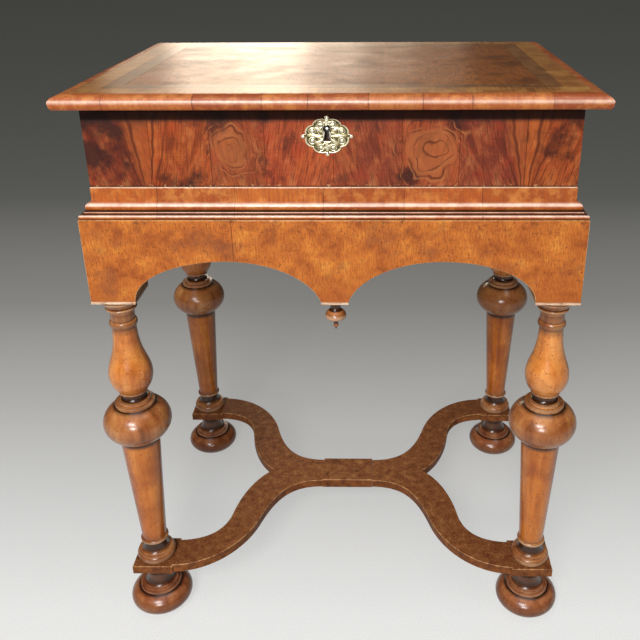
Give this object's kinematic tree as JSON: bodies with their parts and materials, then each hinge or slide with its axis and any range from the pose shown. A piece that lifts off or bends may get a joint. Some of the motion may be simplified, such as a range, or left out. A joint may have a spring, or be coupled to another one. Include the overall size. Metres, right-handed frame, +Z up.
{
  "type": "box on stand",
  "caption": "Veneered lidded box with a brass lock plate, on a stand with arched aprons, turned legs, a serpentine X-stretcher and bun feet.",
  "frame": {"origin": "on the floor, at the centre between the four feet", "axes": "+X to the right seen from the front, front towards -Y, +Z up"},
  "size_m": [0.6336, 0.4666, 0.7667],
  "materials": {
    "leg_walnut": "waxed amber walnut",
    "feet_walnut": "waxed red-brown walnut",
    "stretcher_walnut": "worn mottled walnut",
    "frieze_walnut": "waxed golden figured walnut veneer",
    "moulding_walnut": "waxed cross-grain walnut",
    "box_walnut": "polished red-brown burr walnut veneer",
    "dark_walnut": "polished dark walnut banding",
    "pale_wood": "worn pale edge",
    "pine": "plain oiled softwood carcass",
    "brass": "worn cast brass",
    "iron": "dark forged iron"
  },
  "bodies": {
    "stand": {"foot_front_left": "feet_walnut", "foot_front_right": "feet_walnut", "foot_back_left": "feet_walnut", "foot_back_right": "feet_walnut", "stretcher_arm_front_left": "stretcher_walnut", "stretcher_arm_front_right": "stretcher_walnut", "stretcher_arm_back_left": "stretcher_walnut", "stretcher_arm_back_right": "stretcher_walnut", "stretcher_centre": "stretcher_walnut", "leg_front_left": "leg_walnut", "leg_front_right": "leg_walnut", "leg_back_left": "leg_walnut", "leg_back_right": "leg_walnut", "leg_pad_front_left": "pale_wood", "leg_pad_front_right": "pale_wood", "leg_pad_back_left": "pale_wood", "leg_pad_back_right": "pale_wood", "drop_pad": "pale_wood", "drop_finial": "leg_walnut", "corner_post_front_left": "pine", "corner_post_front_right": "pine", "corner_post_back_left": "pine", "corner_post_back_right": "pine", "apron_front": "pine", "apron_left": "pine", "apron_right": "pine", "apron_back": "pine", "frieze_veneer_front": "frieze_walnut", "frieze_veneer_left": "frieze_walnut", "frieze_veneer_right": "frieze_walnut", "stand_moulding_front": "moulding_walnut", "stand_moulding_left": "moulding_walnut", "stand_moulding_right": "moulding_walnut", "stand_top_rail_back": "pine"},
    "box": {"box_bottom": "pine", "box_front": "pine", "box_left": "pine", "box_right": "pine", "box_back": "box_walnut", "box_veneer_front": "box_walnut", "box_veneer_left": "box_walnut", "box_veneer_right": "box_walnut", "escutcheon": "brass", "lock_case": "iron", "hinge_leaf_box_left": "brass", "hinge_pin_left": "brass", "hinge_leaf_box_right": "brass", "hinge_pin_right": "brass"},
    "lock_bolt": {"lock_bolt": "iron"},
    "lid": {"lid_board": "pine", "lid_panel": "box_walnut", "lid_band": "dark_walnut", "lid_crossband": "moulding_walnut", "lid_moulding_front": "moulding_walnut", "lid_moulding_left": "moulding_walnut", "lid_moulding_right": "moulding_walnut", "hinge_leaf_lid_left": "brass", "hinge_leaf_lid_right": "brass", "lock_staple": "iron"}
  },
  "joints": [
    {"name": "box_lift", "type": "slide", "parent": "stand", "child": "box", "axis": [0, 0, 1], "range_m": [0, 0.12]},
    {"name": "lid_hinge", "type": "hinge", "parent": "box", "child": "lid", "pos_m": [0, 0.2033, 0.75005], "axis": [-1, 0, 0], "range_deg": [0, 100]},
    {"name": "lock_bolt_slide", "type": "slide", "parent": "box", "child": "lock_bolt", "axis": [1, 0, 0], "range_m": [0, 0.008]}
  ]
}
